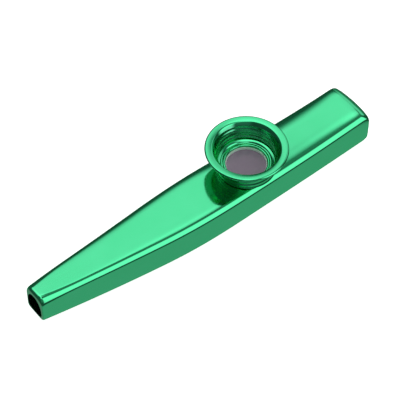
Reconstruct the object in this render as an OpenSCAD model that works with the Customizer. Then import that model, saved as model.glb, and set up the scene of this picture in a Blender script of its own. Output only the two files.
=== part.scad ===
// Submarine-shaped metal kazoo: a flattened, slightly bowed tube with a screw-down turret
// that clamps a thin membrane over a port in the tube's top.
// +X runs along the tube to the mouth end, +Z up through the turret, origin on the
// surface it rests on, under the middle of its length. Sizes are in millimetres.

/* [Tube] */
// Length of the tube from end to end
tube_len = 122; // [100:1:150]
// Width of the tube at its narrow end
narrow_w = 7.9; // [7:0.1:10]
// Width at which the two side lines would cross at the shoulder
shoulder_w = 18.5; // [17.5:0.1:22]
// Width of the tube at its mouth end
mouth_w = 16.3; // [15:0.1:20]
// Height of the tube where it lies flat
tube_h = 12; // [11:0.1:16]
// Thickness of the tube's wall
wall = 1; // [0.6:0.05:1.2]
// Distance of the shoulder from the mouth end
shoulder_from_mouth = 67; // [58:0.5:75]
// Length of the soft bend that joins the two side lines
shoulder_bend = 27; // [10:1:40]
// Radius of the tube's upper long corners towards the narrow end
narrow_corner = 1.6; // [1.4:0.1:3]
// Radius of the tube's upper long corners at the mouth end
mouth_corner = 2; // [1.4:0.1:3]
// Radius to which those corners grow at the narrow end itself
end_corner = 2.6; // [1.4:0.1:3]
// Radius of the tube's lower long corners
under_corner = 1.3; // [1:0.1:2.2]

/* [Bow of the tube] */
// How far the straight stretch runs past the turret's axis towards the mouth end
flat_past_turret = 9.5; // [9:0.5:14]
// Length of the straight stretch between the two upturned ends
flat_len = 29.5; // [22:0.5:40]
// Rise of the top at the narrow end
narrow_top_rise = 1.9; // [0:0.1:4]
// Rise of the underside at the narrow end
narrow_under_rise = 3.9; // [0:0.1:5]
// Rise of the top at the mouth end
mouth_top_rise = 1.1; // [0:0.1:2]
// Rise of the underside at the mouth end
mouth_under_rise = 0.6; // [0:0.1:2]
// Depth of the resting flat pressed into the underside
rest_depth = 0.05; // [0.02:0.01:0.1]

/* [Open ends] */
// Radius over which the top rounds down at the narrow end
narrow_top_roll = 1.3; // [0.5:0.1:1.5]
// Radius of the narrow end's other outer edges
narrow_lip_r = 0.45; // [0.3:0.05:0.55]
// Width of the narrow end's rim above its opening
narrow_brow = 1.7; // [1:0.1:2.2]
// Width of the narrow end's rim below and beside its opening
narrow_rim = 0.65; // [0.65:0.05:1]
// Radius over which the top rolls down at the mouth end
mouth_top_roll = 3.4; // [1.2:0.1:4]
// Radius over which the underside rolls up at the mouth end
mouth_under_roll = 2.4; // [0.8:0.1:3]
// Radius over which the sides roll in at the mouth end
mouth_side_roll = 0.5; // [0.4:0.1:1.5]
// Width of the rim inside the mouth end's roll
mouth_rim = 0.3; // [0.2:0.05:0.6]
// Distance over which each rim runs out into the wall
lip_run = 3.5; // [3:0.1:5]
// Height of the arched upper corners of the narrow opening
arch_h = 4.4; // [2:0.1:5]
// Width of the arched upper corners of the narrow opening
arch_w = 3; // [2:0.1:3.2]
// Radius of the narrow opening's lower corners and of the mouth opening's corners
opening_corner = 2; // [1.5:0.1:3]
// How far the middle of the mouth end stands out past its corners
mouth_bulge = 0.7; // [0:0.05:1.5]
// How far the side walls bulge out at the mouth end
mouth_crown = 0.3; // [0:0.1:1.2]

/* [Turret base] */
// Distance of the turret's axis from the mouth end
turret_from_mouth = 43.5; // [40:0.5:50]
// Diameter of the hole in the tube's top
port_d = 12.6; // [12:0.1:13]
// Clearance of the base's neck in that hole, all round
neck_clear = 0.02; // [0.01:0.01:0.05]
// Diameter of the air hole through the base
air_d = 11.2; // [9:0.1:11.4]
// Width of the crimped edge under the tube's top
crimp_w = 0.32; // [0.1:0.02:0.34]
// Thickness of the crimped edge
crimp_t = 0.5; // [0.3:0.1:1]
// Thickness of the shelf that carries the membrane
shelf_t = 0.3; // [0.2:0.05:0.5]
// Height of the base above the tube's top
base_h = 1.45; // [1.3:0.05:1.5]
// Mean thickness of the base's threaded wall
base_wall = 0.82; // [0.6:0.02:1]

/* [Membrane] */
// Diameter of the membrane and its hoop
membrane_d = 15.2; // [14.6:0.1:16]
// Thickness of the membrane
membrane_t = 0.1; // [0.05:0.01:0.15]
// Inner diameter of the hoop
hoop_bore_d = 12.3; // [11.6:0.1:13]
// Height of the hoop
hoop_h = 0.8; // [0.6:0.05:0.95]
// Clearance of the membrane and its hoop in the base, all round
membrane_clear = 0.1; // [0.05:0.01:0.2]

/* [Screw thread] */
// Rise of the cup in one turn
pitch = 1.5; // [1.4:0.05:1.6]
// Depth of the rolled thread
thread_depth = 0.2; // [0.1:0.02:0.24]
// Clearance between the cup's thread and the base's, all round
thread_clear = 0.1; // [0.08:0.01:0.2]

/* [Cup] */
// Diameter of the cup's flared rim
rim_d = 25.5; // [24:0.1:30]
// Height of the rim above the tube's top
rim_h = 8.7; // [8:0.1:12]
// Thickness of the cup's sheet metal
sheet = 0.36; // [0.3:0.02:0.42]
// Gap between the cup's lower edge and the tube's top
cup_gap = 0.3; // [0.2:0.05:0.6]
// Radius of the curve in which the wall leans outwards
throat_r = 6; // [4:0.5:8]
// How far from upright the wall leans where the brim begins, in degrees
throat_lean = 42; // [30:1:50]
// Angle of the brim above level
brim_angle = 4; // [0:1:20]
// Radius of the rolled edge, measured in the middle of the sheet
edge_r = 0.3; // [0.25:0.01:0.4]

/* [Clamp ring] */
// Diameter of the sound hole in the ring
sound_d = 12.64; // [12:0.02:13]
// Radius of the ring's rounded inner edge, in the middle of the sheet
inner_round = 0.3; // [0.25:0.01:0.35]
// Height of that inner edge above the tube's top, in the middle of the sheet
inner_edge_h = 1.82; // [1.75:0.01:1.95]
// Width of the ring's flange
flange_w = 0.9; // [0.7:0.05:1]
// Height of the flange's outer edge above the tube's top, in the middle of the sheet
flange_h = 2.25; // [2.15:0.01:2.3]
// Angle at which the flange rises outwards
flange_angle = 15; // [0:1:18]
// Height of the ring's groove above the tube's top, in the middle of the sheet
groove_h = 1.62; // [1.6:0.01:1.7]
// Clearance of the flange in the cup's thread groove, all round
flange_clear = 0.16; // [0.12:0.01:0.2]
// Gap between the ring's sleeve and the hoop
sleeve_gap = 0.02; // [0.01:0.01:0.1]

/* [Hidden] */
$fn = 96;
arc_steps = 5;
wave_steps = 8;
flat_steps = 4;
outer_steps = 30;
inner_steps = 18;
lip_steps = 6;
roll_steps = 8;

narrow_x = -tube_len / 2;
mouth_x = tube_len / 2;
shoulder_x = mouth_x - shoulder_from_mouth;
turret_x = mouth_x - turret_from_mouth;
flat_x1 = turret_x + flat_past_turret;
flat_x0 = flat_x1 - flat_len;
bulge_k = mouth_bulge / pow(mouth_w / 2, 2);
bulge_run = 12;
crown_run = 14;
end_run = 14;
roll_angle = 70;
side_steps = 4;

membrane_r = membrane_d / 2;
base_bore_r = membrane_r + membrane_clear;
base_r = base_bore_r + base_wall;
cup_in_r = base_r + thread_depth + thread_clear;
cup_r = cup_in_r + sheet / 2;
neck_r = port_d / 2 - neck_clear;
membrane_h = shelf_t + membrane_t;
hoop_top = membrane_h + hoop_h;
sleeve_r = sound_d / 2 + sheet / 2;
flange_r = cup_in_r + thread_depth / 2 - flange_clear;
cut = 1;

// Share of the way from a to b, held between 0 and 1
function share(x, a, b) = min(1, max(0, (x - a) / (b - a)));

// Value between a and b at a share of the way
function mix(a, b, t) = a + (b - a) * t;

// Points on an arc from angle a0 to angle a1
function arc(c, r, a0, a1, n) = [for (i = [0 : n]) let (a = mix(a0, a1, i / n)) c + r * [cos(a), sin(a)]];

// A path moved sideways by d
function shifted(p, d) = [
    for (i = [0 : len(p) - 1])
        let (along = p[min(i + 1, len(p) - 1)] - p[max(i - 1, 0)])
            p[i] + d * [along[1], -along[0]] / norm(along)
];

// A path without points that coincide with the one before
function distinct(p) = [for (i = [0 : len(p) - 1]) if (i == 0 || norm(p[i] - p[max(i - 1, 0)]) > 0.01) p[i]];

function reversed(p) = [for (i = [len(p) - 1 : -1 : 0]) p[i]];

// Half the tube's width: two straight tapers joined by a soft bend
function half_w(x) =
    let (
        m0 = (shoulder_w - narrow_w) / 2 / (shoulder_x - narrow_x),
        m1 = (mouth_w - shoulder_w) / 2 / shoulder_from_mouth,
        d = x - shoulder_x,
        b = shoulder_bend / 2,
        t = share(d, -b, b)
    )
    abs(d) >= b
        ? shoulder_w / 2 + (d < 0 ? m0 : m1) * d
        : shoulder_w / 2 + b * (-m0 + 2 * m0 * t + (m1 - m0) * t * t);

// How far each end is turned up, as a share of its full rise
function narrow_bow(x) = pow(share(-x, -flat_x0, -narrow_x), 2);
function mouth_bow(x) = pow(share(x, flat_x1, mouth_x), 2);

function top_z(x) = tube_h + narrow_top_rise * narrow_bow(x) + mouth_top_rise * mouth_bow(x);
function under_z(x) = narrow_under_rise * narrow_bow(x) + mouth_under_rise * mouth_bow(x) - rest_depth;

// Radius of the upper long corners, which grows over the last stretch before the narrow end
function corner_r(x) =
    mix(narrow_corner, mouth_corner, share(x, narrow_x, mouth_x))
    + (end_corner - narrow_corner) * pow(share(-x, -narrow_x - end_run, -narrow_x), 2);

// How far a roll of radius r that turns through an angle has come in, a distance s from the end
function rolled(s, r, angle) =
    let (d = r * sin(angle) - s)
    d <= 0 ? 0 : r - sqrt(r * r - d * d);

// One ring of points: a rounded rectangle across the tube, drawn in by in_y at the sides and by
// in_top and in_under. Each upper corner is an ellipse that is corner[0] wide and corner[1] high.
// The flats carry points too, which the bulge and the crown of the mouth end need.
function ring(x, in_y, in_top, in_under, corner, low_corner) =
    let (
        a = half_w(x) - in_y,
        top = top_z(x) - in_top,
        under = under_z(x) + in_under,
        half_h = (top_z(x) - under_z(x)) / 2,
        mid = (top_z(x) + under_z(x)) / 2,
        low_c = min(low_corner, a, (top - under) / 2),
        high_c = [min(corner[0], a), min(corner[1], top - under - low_c)],
        bulge = bulge_k * pow(share(x, mouth_x - bulge_run, mouth_x), 2),
        crown = mouth_crown * pow(share(x, mouth_x - crown_run, mouth_x), 2)
    )
    [
        for (k = [0 : 3])
            let (
                side = [1, -1, -1, 1][k],
                c = k < 2 ? high_c : [low_c, low_c],
                centre = [side * (a - c[0]), k < 2 ? top - c[1] : under + c[1]],
                next_side = [-1, -1, 1, 1][k],
                next_high = k == 0 || k == 3,
                next_c = next_high ? high_c : [low_c, low_c],
                next_centre = [next_side * (a - next_c[0]), next_high ? top - next_c[1] : under + next_c[1]],
                steps = k % 2 == 0 ? flat_steps : side_steps,
                last = centre + [c[0] * cos(90 * k + 90), c[1] * sin(90 * k + 90)],
                next = next_centre + [next_c[0] * cos(90 * k + 90), next_c[1] * sin(90 * k + 90)]
            )
            for (i = [0 : arc_steps + steps - 1])
                let (
                    turn = 90 * k + 90 * min(i, arc_steps) / arc_steps,
                    on_arc = centre + [c[0] * cos(turn), c[1] * sin(turn)],
                    p = i <= arc_steps ? on_arc : mix(last, next, (i - arc_steps) / steps),
                    out = crown * max(0, 1 - pow((p[1] - mid) / half_h, 2)) * p[0] / a
                )
                [x - bulge * p[0] * p[0], p[0] + out, p[1]]
    ];

function outer_ring(x, at_mouth) =
    let (
        s = at_mouth ? mouth_x - x : x - narrow_x,
        angle = at_mouth ? roll_angle : 90,
        in_y = rolled(s, at_mouth ? mouth_side_roll : narrow_lip_r, angle),
        in_top = rolled(s, at_mouth ? mouth_top_roll : narrow_top_roll, angle),
        in_under = rolled(s, at_mouth ? mouth_under_roll : narrow_lip_r, angle),
        c = max(corner_r(x) - in_top / 4, wall / 2),
        under_c = max(under_corner - in_under / 4, wall / 2)
    )
    ring(x, in_y, in_top, in_under, [c, c], under_c);

function inner_ring(x, at_mouth) =
    let (
        t = share(at_mouth ? mouth_x - x : x - narrow_x, 0, lip_run),
        ease = t * t * (3 - 2 * t),
        roll = 1 - cos(roll_angle),
        in_y = at_mouth ? max(mouth_side_roll * roll, wall / 2) + mouth_rim : narrow_rim,
        in_top = at_mouth ? mouth_top_roll * roll + mouth_rim : narrow_brow,
        in_under = at_mouth ? mouth_under_roll * roll + mouth_rim : narrow_rim,
        c = max(corner_r(x) - wall, wall / 2),
        arch = at_mouth ? [opening_corner, opening_corner] : [arch_w, arch_h]
    )
    ring(
        x,
        mix(in_y, wall, ease),
        mix(in_top, wall, ease),
        mix(in_under, wall, ease),
        mix(arch, [c, c], t),
        mix(opening_corner, c, t)
    );

// Rings from the narrow end to the mouth along the outside, and back along the inside
edge_run = max(narrow_top_roll, narrow_lip_r);
roll_start = mouth_x - max(mouth_top_roll, mouth_under_roll, mouth_side_roll) * sin(roll_angle);
outer_rings = concat(
    [
        for (i = [0 : lip_steps - 1])
            outer_ring(narrow_x + edge_run * (1 - cos(90 * i / lip_steps)), false)
    ],
    [
        for (i = [0 : outer_steps])
            outer_ring(mix(narrow_x + edge_run, roll_start, i / outer_steps), i > outer_steps / 2)
    ],
    [
        for (i = [roll_steps - 1 : -1 : 0])
            outer_ring(mix(mouth_x, roll_start, 1 - cos(90 * i / roll_steps)), true)
    ]
);
inner_rings = concat(
    [for (i = [0 : lip_steps - 1]) inner_ring(mouth_x - lip_run * i / lip_steps, true)],
    [
        for (i = [0 : inner_steps])
            inner_ring(mix(mouth_x - lip_run, narrow_x + lip_run, i / inner_steps), i < inner_steps / 2)
    ],
    [for (i = [lip_steps - 1 : -1 : 0]) inner_ring(narrow_x + lip_run * i / lip_steps, false)]
);

// Closes a loop of rings into a solid tube wall
module ring_loop(rings) {
    rows = len(rings);
    n = len(rings[0]);
    polyhedron(
        points = [for (r = rings) for (p = r) p],
        faces = [
            for (j = [0 : rows - 1])
                for (i = [0 : n - 1])
                    let (
                        a = j * n + i,
                        b = j * n + (i + 1) % n,
                        c = ((j + 1) % rows) * n + (i + 1) % n,
                        d = ((j + 1) % rows) * n + i
                    )
                    each [[a, d, c], [a, c, b]]
        ],
        convexity = 8
    );
}

// Stands its children on the tube's top at the turret's axis
module at_turret() translate([turret_x, 0, tube_h]) children();

// A spun sheet-metal ring: a path in the middle of the sheet, turned round the axis
module spun(path) {
    middle = distinct(path);
    rotate_extrude() polygon(concat(shifted(middle, sheet / 2), reversed(shifted(middle, -sheet / 2))));
}

// Radius of a rolled thread at height z, with a crest level with the clamp ring's flange
function thread_at(mean_r, z, share_left = 1) =
    mean_r + share_left * thread_depth / 2 * cos(360 * (z - flange_h) / pitch);

// A rolled thread's outline from z0 to z1
function thread_path(mean_r, z0, z1) =
    let (n = ceil((z1 - z0) / pitch * wave_steps))
    [for (i = [0 : n]) let (z = mix(z0, z1, i / n)) [thread_at(mean_r, z), z]];

// Tube: drawn, flattened and bowed in one piece, with rolled lips and a round port in its top
module body_tube() {
    color([0.2, 0.78, 0.48])
    difference() {
        ring_loop(concat(outer_rings, inner_rings));
        at_turret() translate([0, 0, -2 * wall]) cylinder(d = port_d, h = 4 * wall);
        translate([narrow_x, -shoulder_w, -cut]) cube([tube_len, 2 * shoulder_w, cut]);
    }
}

// Base: a neck through the port crimped under the tube's top, a shelf and a threaded wall
module turret_base() {
    // The crimp lies under the flat of the tube's top, and lower where it reaches the corners
    crimp_r = neck_r + crimp_w;
    inner_corner = max(corner_r(turret_x) - wall, wall / 4);
    past_flat = max(0, crimp_r - half_w(turret_x) + wall + inner_corner);
    reach = min(past_flat, inner_corner);
    drop = inner_corner - sqrt(pow(inner_corner, 2) - pow(reach, 2));
    crimp_top = -wall - drop;
    foot = crimp_top - crimp_t;
    color([0.16, 0.66, 0.4])
    at_turret()
    rotate_extrude()
        polygon(concat(
            [
                [base_bore_r, base_h],
                [base_bore_r, shelf_t],
                [air_d / 2, shelf_t],
                [air_d / 2, foot],
                [crimp_r, foot],
                [crimp_r, crimp_top],
                [neck_r, crimp_top],
                [neck_r, 0]
            ],
            thread_path(base_r, 0, base_h)
        ));
}

// Membrane: a thin plastic film that buzzes, stretched under its hoop
module membrane_film() {
    color([0.47, 0.42, 0.46, 0.8])
    at_turret() translate([0, 0, shelf_t]) cylinder(r = membrane_r, h = membrane_t);
}

// Hoop: the plastic ring that the film is bonded to
module membrane_hoop() {
    color([0.6, 0.78, 0.68])
    at_turret()
    translate([0, 0, membrane_h])
    difference() {
        cylinder(r = membrane_r, h = hoop_h);
        translate([0, 0, -cut]) cylinder(d = hoop_bore_d, h = hoop_h + 2 * cut);
    }
}

// Clamp ring: presses the hoop down and runs free in the cup's thread groove by its flange
module clamp_ring() {
    inner_edge = arc([sleeve_r + inner_round, inner_edge_h - inner_round], inner_round, 180, 45, arc_steps);
    // The groove's sides fall at 45 degrees, so its floor lies where they leave room for it
    from = inner_edge[arc_steps];
    to = [flange_r - flange_w, flange_h - flange_w * tan(flange_angle)];
    meet_h = (from[1] + to[1] + from[0] - to[0]) / 2;
    floor_h = min(from[1], max(groove_h, meet_h));
    floor_from = from[0] + from[1] - floor_h;
    floor_to = max(floor_from, to[0] - to[1] + floor_h);
    color([0.3, 0.86, 0.56])
    at_turret()
    spun(concat(
        [[sleeve_r, hoop_top + sleeve_gap]],
        inner_edge,
        [[floor_from, floor_h], [floor_to, floor_h], to, [flange_r, flange_h]]
    ));
}

// Cup: a spun bell whose threaded wall curves outwards to a brim with a rolled edge
module turret_cup() {
    edge = [rim_d / 2 - sheet / 2 - edge_r, rim_h - sheet / 2 - edge_r];
    edge_start = edge + edge_r * [cos(90 + brim_angle), sin(90 + brim_angle)];
    brim_x = cup_r + throat_r * (1 - cos(throat_lean));
    brim_z = edge_start[1] - (edge_start[0] - brim_x) * tan(brim_angle);
    upright_h = brim_z - throat_r * sin(throat_lean);
    steps = ceil((brim_z - cup_gap) / pitch * wave_steps);
    // The thread runs out over one pitch, half a pitch below the brim
    wall_path = [
        for (i = [0 : steps])
            let (
                z = mix(cup_gap, brim_z, i / steps),
                past = max(0, z - upright_h),
                flare = throat_r - sqrt(throat_r * throat_r - past * past),
                depth = 1 - share(z, brim_z - 1.5 * pitch, brim_z - 0.5 * pitch)
            )
            [thread_at(cup_r + flare, z, depth), z]
    ];
    color([0.22, 0.82, 0.5])
    at_turret()
    spun(concat(wall_path, arc(edge, edge_r, 90 + brim_angle, -60, 2 * arc_steps)));
}

body_tube();
turret_base();
membrane_film();
membrane_hoop();
clamp_ring();
turret_cup();
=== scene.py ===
import math

import bpy
from mathutils import Matrix, Vector


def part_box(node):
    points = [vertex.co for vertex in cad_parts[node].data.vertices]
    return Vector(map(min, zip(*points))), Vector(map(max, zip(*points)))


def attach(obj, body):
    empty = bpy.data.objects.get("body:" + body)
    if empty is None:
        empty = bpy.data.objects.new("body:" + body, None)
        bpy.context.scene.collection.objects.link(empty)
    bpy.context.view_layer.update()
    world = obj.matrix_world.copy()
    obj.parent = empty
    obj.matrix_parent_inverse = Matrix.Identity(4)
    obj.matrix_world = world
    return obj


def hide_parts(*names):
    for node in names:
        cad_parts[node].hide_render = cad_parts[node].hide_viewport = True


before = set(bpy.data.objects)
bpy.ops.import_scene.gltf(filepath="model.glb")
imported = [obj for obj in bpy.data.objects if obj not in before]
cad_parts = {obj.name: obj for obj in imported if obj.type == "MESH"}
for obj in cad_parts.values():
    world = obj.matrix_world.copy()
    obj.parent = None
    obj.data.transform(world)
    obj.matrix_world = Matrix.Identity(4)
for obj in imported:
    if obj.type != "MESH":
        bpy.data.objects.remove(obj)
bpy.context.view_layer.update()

# Tube: one length of drawn aluminium, flattened to a rectangle with round corners, squeezed narrow
# towards one end and bowed a little so that both ends stand up. The edge of the mouth end is
# rolled over, the narrow end is rounded off, and the whole tube is polished and dyed green.

# Sizes are in millimetres, and MM turns them into metres
MM = 0.001
NARROW_WIDTH = 7.9
SHOULDER_WIDTH = 18.5
MOUTH_WIDTH = 16.3
SHOULDER_FROM_MOUTH = 67
SHOULDER_BEND = 27
TUBE_HEIGHT = 12
NARROW_CORNER = 1.6
MOUTH_CORNER = 1.75
END_CORNER = 2.6
END_RUN = 14
UNDER_CORNER = 1.3
# Share of what a roll has come in by that the corners beside it lose
NARROW_CORNER_LOSS = 1 / 4
MOUTH_CORNER_LOSS = 1 / 3
UNDER_CORNER_LOSS = 1 / 4
NARROW_TOP_RISE = 1.9
NARROW_UNDER_RISE = 3.9
MOUTH_TOP_RISE = 1.1
MOUTH_UNDER_RISE = 0.6
FLAT_FROM = -2.5
FLAT_TO = 27
REST_DEPTH = 0.05
WALL = 1
NARROW_TOP_ROLL = 1.3
NARROW_LIP = 0.45
NARROW_BROW = 1.7
NARROW_RIM = 0.65
MOUTH_TOP_ROLL = 3.4
MOUTH_UNDER_ROLL = 2.4
MOUTH_SIDE_ROLL = 0.5
MOUTH_RIM = 0.3
ROLL_ANGLE = math.radians(70)
LIP_RUN = 3.5
ARCH_HEIGHT = 4.4
ARCH_WIDTH = 3
OPENING_CORNER = 2
MOUTH_BULGE = 0.7
BULGE_RUN = 12
MOUTH_CROWN = 0.3
CROWN_RUN = 14
# The top falls off softly towards its long edges, least at the narrow end and most past the turret
LEAST_DROOP = 0.12
DROOP_RUN = 40
DROOP_DEPTH = 0.4
DROOP_REACH = 2.4
DEEPEST_DROOP = 0.7
WIDEST_DROOP = 4.2
DROOP_FROM_MOUTH = 27
DROOP_SPREAD = 26
DROOP_FLATNESS = 4
CORNER_STEPS = 12
TOP_STEPS = 16
SIDE_STEPS = 6
OUTSIDE_STEP = 1.5
INSIDE_STEP = 3
LIP_STEPS = 10
ROLL_STEPS = 14
LIP_RUN_STEPS = 5
PORT_DIAMETER = 12.6
PORT_FACETS = 128
PORT_CUT_DEPTH = 4
TURRET_FROM_MOUTH = 43.5
SEAM_GAP = 0.001
TUBE_SMOOTH_ANGLE = math.radians(40)
SAWN_FACING = 0.9
DYE_WAVE = 7

tube_low, tube_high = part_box("body_tube")
narrow_x, mouth_x = tube_low.x / MM, tube_high.x / MM
shoulder_x = mouth_x - SHOULDER_FROM_MOUTH
turret_x = mouth_x - TURRET_FROM_MOUTH


def share(value, start, end):
    """Share of the way from start to end, held between 0 and 1."""
    return min(1.0, max(0.0, (value - start) / (end - start)))


def mix(start, end, t):
    """The value a share t of the way from start to end."""
    return start + (end - start) * t


def half_width(x):
    """Half the tube's width at x: two straight tapers joined by a soft bend."""
    narrow_slope = (SHOULDER_WIDTH - NARROW_WIDTH) / 2 / (shoulder_x - narrow_x)
    mouth_slope = (MOUTH_WIDTH - SHOULDER_WIDTH) / 2 / SHOULDER_FROM_MOUTH
    past, reach = x - shoulder_x, SHOULDER_BEND / 2
    if abs(past) >= reach:
        return SHOULDER_WIDTH / 2 + (narrow_slope if past < 0 else mouth_slope) * past
    t = (past + reach) / (2 * reach)
    bend = -narrow_slope + 2 * narrow_slope * t + (mouth_slope - narrow_slope) * t * t
    return SHOULDER_WIDTH / 2 + reach * bend


def top_and_underside(x):
    """Heights of the top and the underside at x."""
    narrow_bow = share(x, FLAT_FROM, narrow_x) ** 2
    mouth_bow = share(x, FLAT_TO, mouth_x) ** 2
    top = TUBE_HEIGHT + NARROW_TOP_RISE * narrow_bow + MOUTH_TOP_RISE * mouth_bow
    return top, NARROW_UNDER_RISE * narrow_bow + MOUTH_UNDER_RISE * mouth_bow - REST_DEPTH


def droop_at(x):
    """How far the top falls off at its long edges at x, and how far in from them that starts."""
    most = math.exp(-(((mouth_x - DROOP_FROM_MOUTH - x) / DROOP_SPREAD) ** DROOP_FLATNESS))
    usual = mix(LEAST_DROOP, DROOP_DEPTH, share(x, narrow_x, narrow_x + DROOP_RUN))
    return mix(usual, DEEPEST_DROOP, most), mix(DROOP_REACH, WIDEST_DROOP, most)


def round_cornered(half, low, high, corner, low_corner):
    """Points (y, z) round a rectangle; its upper corners are wide and high, its lower ones round."""
    low_corner = min(low_corner, half, (high - low) / 2)
    wide_corner, high_corner = min(corner[0], half), min(corner[1], high - low - low_corner)
    corners = [
        (half - wide_corner, high - high_corner, wide_corner, high_corner),
        (wide_corner - half, high - high_corner, wide_corner, high_corner),
        (low_corner - half, low + low_corner, low_corner, low_corner),
        (half - low_corner, low + low_corner, low_corner, low_corner),
    ]
    points = []
    for k, (y, z, ry, rz) in enumerate(corners):
        for i in range(CORNER_STEPS + 1):
            turn = math.pi / 2 * (k + i / CORNER_STEPS)
            points.append((y + ry * math.cos(turn), z + rz * math.sin(turn)))
        y2, z2, ry2, rz2 = corners[(k + 1) % 4]
        turn = math.pi / 2 * (k + 1)
        ahead = (y2 + ry2 * math.cos(turn), z2 + rz2 * math.sin(turn))
        steps = TOP_STEPS if k % 2 == 0 else SIDE_STEPS
        last = points[-1]
        for i in range(1, steps):
            points.append((mix(last[0], ahead[0], i / steps), mix(last[1], ahead[1], i / steps)))
    return points


def section(x, side_in, top_in, under_in, corner, low_corner):
    """Points round the tube at x, drawn in at its sides, top and underside."""
    top, underside = top_and_underside(x)
    middle, half_height = (top + underside) / 2, (top - underside) / 2
    half, high = half_width(x) - side_in, top - top_in
    droop, reach = droop_at(x)
    droop_from = max(0, half - corner[0] - reach)
    bulge = MOUTH_BULGE * share(x, mouth_x - BULGE_RUN, mouth_x) ** 2
    crown = MOUTH_CROWN * share(x, mouth_x - CROWN_RUN, mouth_x) ** 2
    placed = []
    for y, z in round_cornered(half, underside + under_in, high, corner, low_corner):
        back = bulge * (y / (MOUTH_WIDTH / 2)) ** 2
        out = crown * max(0, 1 - ((z - middle) / half_height) ** 2) * y / half
        fall = droop * share(abs(y), droop_from, half) ** 2 * share(z, middle, high)
        placed.append(Vector((x - back, y + out, max(0, z - fall))) * MM)
    return placed


def corner_radius(x):
    """Radius of the upper corners at x: it grows along the tube, and again at the narrow end."""
    grown = (END_CORNER - NARROW_CORNER) * share(x, narrow_x + END_RUN, narrow_x) ** 2
    return mix(NARROW_CORNER, MOUTH_CORNER, share(x, narrow_x, mouth_x)) + grown


def rolled(s, radius, angle):
    """How far a roll that turns through an angle has come in, a distance s from the end."""
    left = radius * math.sin(angle) - s
    return 0 if left <= 0 else radius - math.sqrt(radius**2 - left**2)


def outer_section(x, at_mouth):
    """The outside of the tube at x, with its roll where x is near an end."""
    if at_mouth:
        s, angle, loss = mouth_x - x, ROLL_ANGLE, MOUTH_CORNER_LOSS
        side, top, under = MOUTH_SIDE_ROLL, MOUTH_TOP_ROLL, MOUTH_UNDER_ROLL
    else:
        s, angle, loss = x - narrow_x, math.pi / 2, NARROW_CORNER_LOSS
        side, top, under = NARROW_LIP, NARROW_TOP_ROLL, NARROW_LIP
    top_in, under_in = rolled(s, top, angle), rolled(s, under, angle)
    corner = max(corner_radius(x) - top_in * loss, WALL / 2)
    under_corner = max(UNDER_CORNER - under_in * UNDER_CORNER_LOSS, WALL / 2)
    return section(x, rolled(s, side, angle), top_in, under_in, (corner, corner), under_corner)


def inner_section(x, at_mouth):
    """The inside of the tube at x, drawn in to the shape of the opening near an end."""
    t = share(mouth_x - x if at_mouth else x - narrow_x, 0, LIP_RUN)
    ease = t * t * (3 - 2 * t)
    roll = 1 - math.cos(ROLL_ANGLE)
    if at_mouth:
        side_in = max(MOUTH_SIDE_ROLL * roll, WALL / 2) + MOUTH_RIM
        top_in, under_in = MOUTH_TOP_ROLL * roll + MOUTH_RIM, MOUTH_UNDER_ROLL * roll + MOUTH_RIM
        arch = (OPENING_CORNER, OPENING_CORNER)
    else:
        side_in, top_in, under_in = NARROW_RIM, NARROW_BROW, NARROW_RIM
        arch = (ARCH_WIDTH, ARCH_HEIGHT)
    corner = max(corner_radius(x) - WALL, WALL / 2)
    return section(
        x,
        mix(side_in, WALL, ease),
        mix(top_in, WALL, ease),
        mix(under_in, WALL, ease),
        (mix(arch[0], corner, t), mix(arch[1], corner, t)),
        mix(OPENING_CORNER, corner, t),
    )


def steps_between(start, end, step):
    """Places from start to end, both included, no more than a step apart."""
    count = math.ceil(abs(end - start) / step)
    return [mix(start, end, i / count) for i in range(count + 1)]


# The tube's skin: rings of points along the outside to the mouth, and back along the inside
roll_start = mouth_x - MOUTH_TOP_ROLL * math.sin(ROLL_ANGLE)
lip_turns = [math.pi / 2 * i / LIP_STEPS for i in range(LIP_STEPS)]
roll_turns = [math.pi / 2 * i / ROLL_STEPS for i in range(ROLL_STEPS)]
rings = []
for turn in lip_turns:
    rings.append(outer_section(narrow_x + NARROW_TOP_ROLL * (1 - math.cos(turn)), False))
for x in steps_between(narrow_x + NARROW_TOP_ROLL, roll_start, OUTSIDE_STEP):
    rings.append(outer_section(x, x > 0))
for turn in reversed(roll_turns):
    rings.append(outer_section(mix(mouth_x, roll_start, 1 - math.cos(turn)), True))
for x in steps_between(mouth_x, mouth_x - LIP_RUN, LIP_RUN / LIP_RUN_STEPS):
    rings.append(inner_section(x, True))
for x in steps_between(mouth_x - LIP_RUN, narrow_x + LIP_RUN, INSIDE_STEP)[1:]:
    rings.append(inner_section(x, x > 0))
for x in steps_between(narrow_x + LIP_RUN, narrow_x, LIP_RUN / LIP_RUN_STEPS)[1:]:
    rings.append(inner_section(x, False))
rings.append(rings[0])


def start_piece(name):
    """Names the primitive just added, puts its place in its mesh and opens it for editing."""
    piece = bpy.context.object
    piece.name = piece.data.name = name
    bpy.ops.object.transform_apply(location=True, rotation=True, scale=True)
    bpy.ops.object.mode_set(mode="EDIT")
    bpy.ops.mesh.select_mode(type="VERT")
    bpy.ops.mesh.select_all(action="SELECT")
    return piece


def close_seams(piece):
    """Merges the doubled points of a seam and turns every face outwards."""
    bpy.ops.object.mode_set(mode="EDIT")
    bpy.ops.mesh.select_all(action="SELECT")
    bpy.ops.mesh.remove_doubles(threshold=SEAM_GAP * MM)
    bpy.ops.mesh.normals_make_consistent(inside=False)
    bpy.ops.object.mode_set(mode="OBJECT")


def finish_with(piece, kind, **settings):
    """Adds a modifier with its settings to a piece and applies it."""
    bpy.ops.object.select_all(action="DESELECT")
    piece.select_set(True)
    bpy.context.view_layer.objects.active = piece
    modifier = piece.modifiers.new(kind.title(), kind)
    for setting, value in settings.items():
        setattr(modifier, setting, value)
    bpy.ops.object.modifier_apply(modifier=modifier.name)


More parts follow.
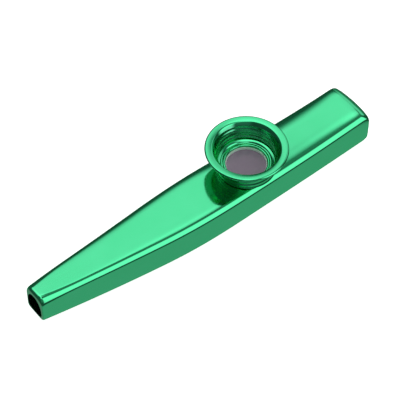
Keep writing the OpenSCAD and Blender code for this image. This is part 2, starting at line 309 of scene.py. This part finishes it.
# A circle is drawn out once for each ring, and its points are then moved to where the rings lie
bpy.ops.object.select_all(action="DESELECT")
points_round = len(rings[0])
bpy.ops.mesh.primitive_circle_add(
    vertices=points_round,
    radius=TUBE_HEIGHT / 2 * MM,
    location=(narrow_x * MM, 0, TUBE_HEIGHT / 2 * MM),
    rotation=(0, math.pi / 2, 0),
)
tube = start_piece("tube")
bpy.ops.object.mode_set(mode="OBJECT")
spots = tube.data.attributes.new("spot", "INT", "POINT")
for i in range(points_round):
    spots.data[i].value = i
bpy.ops.object.mode_set(mode="EDIT")
for step in rings[1:]:
    bpy.ops.mesh.extrude_region_move(TRANSFORM_OT_translate={"value": (OUTSIDE_STEP * MM, 0, 0)})
bpy.ops.object.mode_set(mode="OBJECT")
spots = tube.data.attributes["spot"]
for vertex in tube.data.vertices:
    vertex.co = rings[vertex.index // points_round][spots.data[vertex.index].value]
tube.data.attributes.remove(spots)
close_seams(tube)

bpy.ops.object.select_all(action="DESELECT")
bpy.ops.mesh.primitive_cylinder_add(
    vertices=PORT_FACETS,
    radius=PORT_DIAMETER / 2 * MM,
    depth=PORT_CUT_DEPTH * MM,
    location=(turret_x * MM, 0, TUBE_HEIGHT * MM),
)
port_cutter = bpy.context.object
finish_with(tube, "BOOLEAN", operation="DIFFERENCE", object=port_cutter, solver="EXACT")
bpy.data.objects.remove(port_cutter)
bpy.ops.object.shade_smooth_by_angle(angle=TUBE_SMOOTH_ANGLE)


def linear(hex_colour):
    """An sRGB hex colour as linear red, green, blue and alpha."""
    channels = [int(hex_colour[i : i + 2], 16) / 255 for i in (1, 3, 5)]
    return [c / 12.92 if c <= 0.04045 else ((c + 0.055) / 1.055) ** 2.4 for c in channels] + [1.0]


def add_node(tree, kind, settings=None, inputs=None):
    """Adds a node with its settings; an input is a value, or the output of another node to link."""
    node = tree.nodes.new(kind)
    for name, value in (settings or {}).items():
        setattr(node, name, value)
    for name, value in (inputs or {}).items():
        if isinstance(value, bpy.types.NodeSocket):
            tree.links.new(value, node.inputs[name])
        else:
            node.inputs[name].default_value = value
    return node


def blend(tree, factor, first, second):
    """A colour that goes from the first to the second as the factor goes from 0 to 1."""
    inputs = {"Factor": factor, 6: first, 7: second}
    return add_node(tree, "ShaderNodeMix", {"data_type": "RGBA"}, inputs).outputs[2]


def noise(tree, place, size, detail):
    """Soft noise between 0 and 1 whose waves have a size in millimetres."""
    inputs = {"Vector": place, "Scale": 1 / (size * MM), "Detail": detail}
    return add_node(tree, "ShaderNodeTexNoise", inputs=inputs).outputs["Fac"]


def new_material(name):
    """An empty material, its node tree and the place of each point of the piece."""
    material = bpy.data.materials.new(name)
    material.use_nodes = True
    tree = material.node_tree
    tree.nodes.clear()
    return material, tree, add_node(tree, "ShaderNodeTexCoord").outputs["Object"]


def give_surface(tree, inputs):
    """Ends a node tree in a surface with the inputs given."""
    shader = add_node(tree, "ShaderNodeBsdfPrincipled", inputs=inputs)
    add_node(tree, "ShaderNodeOutputMaterial", inputs={"Surface": shader.outputs["BSDF"]})


def dress(piece, *materials):
    """Puts the materials on a piece in place of what it has."""
    piece.data.materials.clear()
    for material in materials:
        piece.data.materials.append(material)


def anodised_aluminium(name, line_size, pale="#41dc95", deep="#4be09d"):
    """Polished metal under a clear dyed layer, so it mirrors the room in green.

    Faint lines, with a size in millimetres along each axis, lie the way the sheet was drawn or
    turned, and the dye varies a little in depth.
    """
    material, tree, place = new_material(name)
    scale = [1 / (size * MM) for size in line_size]
    along = add_node(tree, "ShaderNodeMapping", inputs={"Vector": place, "Scale": scale})
    lines = add_node(
        tree,
        "ShaderNodeTexNoise",
        inputs={"Vector": along.outputs["Vector"], "Scale": 1.0, "Detail": 3.0, "Roughness": 0.6},
    ).outputs["Fac"]
    waves = noise(tree, place, DYE_WAVE, 1.0)
    gloss = add_node(
        tree,
        "ShaderNodeMapRange",
        inputs={"Value": lines, "From Min": 0.3, "From Max": 0.7, "To Min": 0.10, "To Max": 0.15},
    )
    fine = add_node(
        tree,
        "ShaderNodeBump",
        inputs={"Height": lines, "Strength": 0.05, "Distance": 0.02 * MM},
    ).outputs["Normal"]
    relief = add_node(
        tree,
        "ShaderNodeBump",
        inputs={"Height": waves, "Strength": 0.3, "Distance": 0.05 * MM, "Normal": fine},
    )
    surface = {
        "Base Color": blend(tree, waves, linear(pale), linear(deep)),
        "Metallic": 1.0,
        "Roughness": gloss.outputs["Result"],
        "Normal": relief.outputs["Normal"],
        "Specular Tint": (0.25, 1.0, 0.55, 1.0),
        "Coat Weight": 0.7,
        "Coat Roughness": 0.06,
        "Coat IOR": 1.5,
    }
    give_surface(tree, surface)
    return material


drawn_aluminium = anodised_aluminium("anodised aluminium, drawn", (20, 0.5, 0.5))
# The sawn edge of the narrow end took less dye than the polished faces
sawn_aluminium = anodised_aluminium(
    "anodised aluminium, sawn edge",
    (0.2, 0.2, 0.2),
    pale="#9cc4a8",
    deep="#8cb89a",
)
dress(tube, drawn_aluminium, sawn_aluminium)
for face in tube.data.polygons:
    if face.center.x < (narrow_x + NARROW_LIP) * MM and face.normal.x < -SAWN_FACING:
        face.material_index = 1
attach(tube, "tube")
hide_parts("body_tube")

# Turret base: a turned ring with a male thread, crimped in the tube's port. Only its lowest
# turn shows, under the cup's edge, in the same dyed aluminium.

turned_aluminium = anodised_aluminium("anodised aluminium, turned", (0.8, 0.8, 0.3))
dress(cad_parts["turret_base"], turned_aluminium)

# Membrane: a thin plastic film that buzzes, bonded under a pale plastic hoop and stretched
# over the port. It lies in the base's seat and is held down by the clamp ring.

FILM_CLOUD = 3
HOOP_GRAIN = 0.6


def film_material():
    """A thin film with faint clouds and slack waves."""
    material, tree, place = new_material("polyethylene film, stretched")
    clouds = noise(tree, place, FILM_CLOUD, 3.0)
    relief = add_node(
        tree,
        "ShaderNodeBump",
        inputs={"Height": clouds, "Strength": 0.15, "Distance": 0.2 * MM},
    )
    surface = {
        "Base Color": blend(tree, clouds, linear("#8d7a90"), linear("#aa8fa6")),
        "Roughness": 0.22,
        "Normal": relief.outputs["Normal"],
    }
    give_surface(tree, surface)
    return material


def hoop_material_with_painted_glow():
    """A pale plastic that light soaks into, with a fine grain and a faint painted glow that lifts it
    out of the shade of the ring.
    """
    material, tree, place = new_material("polypropylene hoop, moulded")
    grain = noise(tree, place, HOOP_GRAIN, 2.0)
    surface = {
        "Base Color": blend(tree, grain, linear("#e6faee"), linear("#f4fff8")),
        "Roughness": 0.3,
        "Subsurface Weight": 0.3,
        "Subsurface Radius": (0.5 * MM, 0.8 * MM, 0.6 * MM),
        "Subsurface Scale": 1.0,
        # Painted glow: a little green light of its own, in place of light shining through the hoop
        "Emission Color": (0.55, 1, 0.7, 1),
        "Emission Strength": 0.08,
    }
    give_surface(tree, surface)
    return material


dress(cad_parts["membrane_film"], film_material())
dress(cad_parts["membrane_hoop"], hoop_material_with_painted_glow())

# Clamp ring: a stepped eyelet pressed from the same sheet. Its flange opens like a funnel and runs
# in the cup's thread groove, and its sleeve presses the hoop down.

# Radii from the turret's axis and heights above the tube's top, in the middle of the sheet
SHEET = 0.36
TURRET_STEPS = 96
RING_SLEEVE = 6.5
RING_SLEEVE_BOTTOM = 1.24
RING_INNER_ROUND = 0.3
RING_INNER_HEIGHT = 1.52
RING_FLOOR_HEIGHT = 1.62
RING_FLOOR_FROM = 7.12
RING_FLOOR_TO = 7.72
RING_FLANGE_FROM = (7.95, 1.95)
RING_FLANGE_TO = (8.76, 2.25)
RING_ROUND_STEPS = 6
RING_FLANGE_STEPS = 4
SHEET_SMOOTH_ANGLE = math.radians(60)


def arc(centre, radius, start, end, steps):
    """Points on an arc of a profile, from the start angle to the end angle in degrees."""
    turns = [math.radians(mix(start, end, i / steps)) for i in range(steps + 1)]
    return [(centre[0] + radius * math.cos(t), centre[1] + radius * math.sin(t)) for t in turns]


def spin_sheet(name, profile, shape=None):
    """Spins a profile of radius and height above the tube's top into a sheet, as on a lathe."""
    bpy.ops.object.select_all(action="DESELECT")
    start = Vector((turret_x + profile[0][0], 0, TUBE_HEIGHT + profile[0][1])) * MM
    bpy.ops.mesh.primitive_plane_add(size=MM, location=start)
    piece = start_piece(name)
    bpy.ops.mesh.merge(type="CENTER")
    for before, after in zip(profile, profile[1:]):
        step = Vector((after[0] - before[0], 0, after[1] - before[1])) * MM
        bpy.ops.mesh.extrude_vertices_move(TRANSFORM_OT_translate={"value": step})
    bpy.ops.mesh.select_all(action="SELECT")
    turret_axis = {"center": (turret_x * MM, 0, 0), "axis": (0, 0, 1)}
    bpy.ops.mesh.spin(steps=TURRET_STEPS, angle=2 * math.pi, **turret_axis)
    close_seams(piece)
    if shape:
        for vertex in piece.data.vertices:
            shape(vertex.co)
    finish_with(piece, "SOLIDIFY", thickness=SHEET * MM, offset=0, use_even_offset=True)
    finish_with(piece, "SUBSURF", levels=1, render_levels=1)
    bpy.ops.object.shade_smooth_by_angle(angle=SHEET_SMOOTH_ANGLE)
    return piece


ring_profile = [(RING_SLEEVE, RING_SLEEVE_BOTTOM)]
ring_edge = (RING_SLEEVE + RING_INNER_ROUND, RING_INNER_HEIGHT)
ring_profile += arc(ring_edge, RING_INNER_ROUND, 180, 45, RING_ROUND_STEPS)
ring_profile += [(RING_FLOOR_FROM, RING_FLOOR_HEIGHT), (RING_FLOOR_TO, RING_FLOOR_HEIGHT)]
for i in range(RING_FLANGE_STEPS + 1):
    t = i / RING_FLANGE_STEPS
    ring_profile.append([mix(start, end, t) for start, end in zip(RING_FLANGE_FROM, RING_FLANGE_TO)])
ring = spin_sheet("clamp_eyelet", ring_profile)
dress(ring, turned_aluminium)
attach(ring, "ring")
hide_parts("clamp_ring")

# Turret cup: one disc of thin aluminium spun into a bell. A thread is rolled into its wall, and
# its mouth flares to a brim whose edge is rolled under. It screws down over the base.

# RIM and RIM_HEIGHT are the cup's outermost and highest points, the rest is in mid-sheet
CUP_WALL = 9
CUP_BOTTOM = 0.3
PITCH = 1.5
THREAD_DEPTH = 0.2
THREAD_FADES_FROM = 6.15
THREAD_TOP = 7.65
THREAD_STEPS = 8
THROAT = 6
THROAT_LEAN = 42
BRIM_ANGLE = 4
BRIM_STEPS = 8
EDGE_ROUND = 0.3
EDGE_CURLS_TO = -60
EDGE_STEPS = 8
RIM = 12.75
RIM_HEIGHT = 8.7

edge_path = arc(
    (RIM - SHEET / 2 - EDGE_ROUND, RIM_HEIGHT - SHEET / 2 - EDGE_ROUND),
    EDGE_ROUND,
    90 + BRIM_ANGLE,
    EDGE_CURLS_TO,
    EDGE_STEPS,
)
lean = math.radians(THROAT_LEAN)
brim_from = CUP_WALL + THROAT * (1 - math.cos(lean))
brim_width = edge_path[0][0] - brim_from
brim_rise = brim_width * math.tan(math.radians(BRIM_ANGLE))
wall_top = edge_path[0][1] - brim_rise
wall_steps = round((wall_top - CUP_BOTTOM) / (PITCH / THREAD_STEPS))
cup_profile = []
for i in range(wall_steps):
    height = mix(CUP_BOTTOM, wall_top, i / wall_steps)
    past = max(0, height - wall_top + THROAT * math.sin(lean))
    cup_profile.append((CUP_WALL + THROAT - math.sqrt(THROAT**2 - past**2), height))
# The brim starts steeper and levels out towards its edge
for i in range(BRIM_STEPS):
    left = 1 - i / BRIM_STEPS
    cup_profile.append((edge_path[0][0] - left * brim_width, edge_path[0][1] - brim_rise * left**2))
cup_profile += edge_path


def roll_thread(place):
    """Moves a point of the cup's wall in or out by the rolled thread, which climbs round it."""
    out = Vector((place.x - turret_x * MM, place.y))
    height = place.z / MM - TUBE_HEIGHT
    if height > THREAD_TOP:
        return
    turn = math.atan2(out.y, out.x)
    depth = THREAD_DEPTH / 2 * share(height, THREAD_TOP, THREAD_FADES_FROM)
    wave = depth * math.cos(2 * math.pi * (height - RING_FLANGE_TO[1]) / PITCH - turn) * MM
    place.x += out.x / out.length * wave
    place.y += out.y / out.length * wave


cup = spin_sheet("cup_bell", cup_profile, roll_thread)
# Inside the bell the metal is painted darker and duller, a painted shade that tones down the bright
# reflections on its wall; its fine lines stand for the grooves that the spinning tool left
shaded_inside_aluminium = anodised_aluminium(
    "anodised aluminium, painted shade inside",
    (0.8, 0.8, 0.2),
    pale="#46b888",
    deep="#52c894",
)
dress(cup, turned_aluminium, shaded_inside_aluminium)
# Faces on the inside of the wall, below the brim, take the painted shade
for face in cup.data.polygons:
    out = Vector((face.center.x - turret_x * MM, face.center.y, 0))
    if face.normal.dot(out) < 0 and out.length < (brim_from - SHEET) * MM:
        face.material_index = 1
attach(cup, "cup")
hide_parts("turret_cup")

# Studio: a plain pale floor in a pale room with soft boxes round the object, and the camera in
# the photo's place, above the near side and turned towards the mouth end.

CAMERA_ELEVATION = math.radians(51.75)
CAMERA_TURN = math.radians(38.24)
CAMERA_DISTANCE = 541.6
FRAME_PIXELS = 400
PIXELS_PER_MM = 3.2986
TURRET_PIXELS_RIGHT = 46.16
TURRET_PIXELS_UP = 34.13
SENSOR = 36
FLOOR_SIZE = 6
FLOOR_GAP = 0.02
ROOM_LIGHT = 0.085
GREEN_FADE = 1.6

along_x, along_y = math.sin(CAMERA_TURN), math.cos(CAMERA_TURN)
ahead, down = math.cos(CAMERA_ELEVATION), math.sin(CAMERA_ELEVATION)
forward = Vector((along_x * ahead, along_y * ahead, -down))
right = Vector((along_y, -along_x, 0))
up = right.cross(forward)
turret = Vector((turret_x, 0, TUBE_HEIGHT))
aim = turret - right * TURRET_PIXELS_RIGHT / PIXELS_PER_MM - up * TURRET_PIXELS_UP / PIXELS_PER_MM
bpy.ops.object.camera_add(location=(aim - forward * CAMERA_DISTANCE) * MM)
camera = bpy.context.object
camera.rotation_euler = Matrix((right, up, -forward)).transposed().to_euler()
camera.data.sensor_width = SENSOR
camera.data.lens = CAMERA_DISTANCE * PIXELS_PER_MM * SENSOR / FRAME_PIXELS
bpy.context.scene.camera = camera
bpy.context.scene.view_settings.view_transform = "Standard"

bpy.ops.mesh.primitive_plane_add(size=FLOOR_SIZE, location=(0, 0, -FLOOR_GAP * MM))
floor = bpy.context.object
floor.name = "floor"
floor_material, floor_tree, _ = new_material("white card")
card = {
    "Base Color": linear("#f4f4f4"),
    "Roughness": 0.9,
    "Emission Color": (1, 1, 1, 1),
    "Emission Strength": 0.9,
}
give_surface(floor_tree, card)
dress(floor, floor_material)
floor.visible_glossy = False

world = bpy.data.worlds.new("studio")
bpy.context.scene.world = world
world.use_nodes = True
sky = world.node_tree
sky.nodes.clear()
direction = add_node(sky, "ShaderNodeTexCoord").outputs["Generated"]
axes = add_node(sky, "ShaderNodeSeparateXYZ", inputs={"Vector": direction}).outputs


def reckon(operation, first, second=0.0):
    """The result of a sum with two values or outputs."""
    return add_node(sky, "ShaderNodeMath", {"operation": operation}, {0: first, 1: second}).outputs[0]


def between(value, low, high, soft):
    """1 where value lies between low and high, falling softly to 0 outside."""
    edges = []
    for start, end in ((low - soft, low + soft), (high + soft, high - soft)):
        edge = add_node(
            sky,
            "ShaderNodeMapRange",
            {"interpolation_type": "SMOOTHSTEP"},
            {"Value": value, "From Min": start, "From Max": end},
        )
        edges.append(edge.outputs["Result"])
    return reckon("MULTIPLY", edges[0], edges[1])


azimuth = reckon("DEGREES", reckon("ARCTAN2", axes["Y"], axes["X"]))
elevation = reckon("DEGREES", reckon("ARCSINE", axes["Z"]))


def soft_box(azimuth_from, azimuth_to, elevation_from, elevation_to, level, soft):
    """Light from a patch of the room; azimuth runs from +X towards +Y, between -180 and 180."""
    across = between(azimuth, azimuth_from, azimuth_to, soft[0])
    high = between(elevation, elevation_from, elevation_to, soft[1])
    return reckon("MULTIPLY", reckon("MULTIPLY", across, high), level)


# The room is dim and greenish. A tall panel stands behind the object under a brighter ceiling, a
# narrow one stands before its near side, faint glows join them, and the table lights it from below.
# Each row has the azimuths and elevations in degrees, the level, and how soft the edges are.
light = ROOM_LIGHT
for box in (
    (41, 130, 43, 57, 0.98, (11, 5)),
    (34, 130, 57, 78, 1.35, (8, 5)),
    (-190, 190, 77, 100, 1.4, (1, 7)),
    (-12, 45, 23, 45, 0.72, (8, 6)),
    (-8, 31, 45, 54, 0.5, (8, 6)),
    (-142, -88, 56, 78, 1.0, (6, 6)),
    (-140, -94, 14, 50, 0.12, (10, 6)),
    (5, 52, -10, 26, 0.13, (8, 6)),
    (-88, -43, -8, 57, 1.35, (8, 5)),
    (-60, 45, 57, 78, 0.12, (6, 6)),
    (-110, 20, -78, -42, 0.34, (4, 4)),
    (-200, -110, -100, -30, 0.25, (8, 8)),
    (20, 200, -100, -25, 0.25, (8, 8)),
):
    light = reckon("ADD", light, soft_box(*box))
ray = add_node(sky, "ShaderNodeLightPath").outputs["Is Camera Ray"]
backdrop = add_node(sky, "ShaderNodeBackground", inputs={"Color": linear("#ffffff")})
whiteness = reckon("MINIMUM", reckon("MULTIPLY", light, GREEN_FADE), 1)
tint = blend(sky, whiteness, (0.55, 1, 0.85, 1), (1, 1, 1, 1))
room = add_node(sky, "ShaderNodeBackground", inputs={"Color": tint, "Strength": light})
seen = add_node(
    sky,
    "ShaderNodeMixShader",
    inputs={0: ray, 1: room.outputs["Background"], 2: backdrop.outputs["Background"]},
)
add_node(sky, "ShaderNodeOutputWorld", inputs={"Surface": seen.outputs["Shader"]})
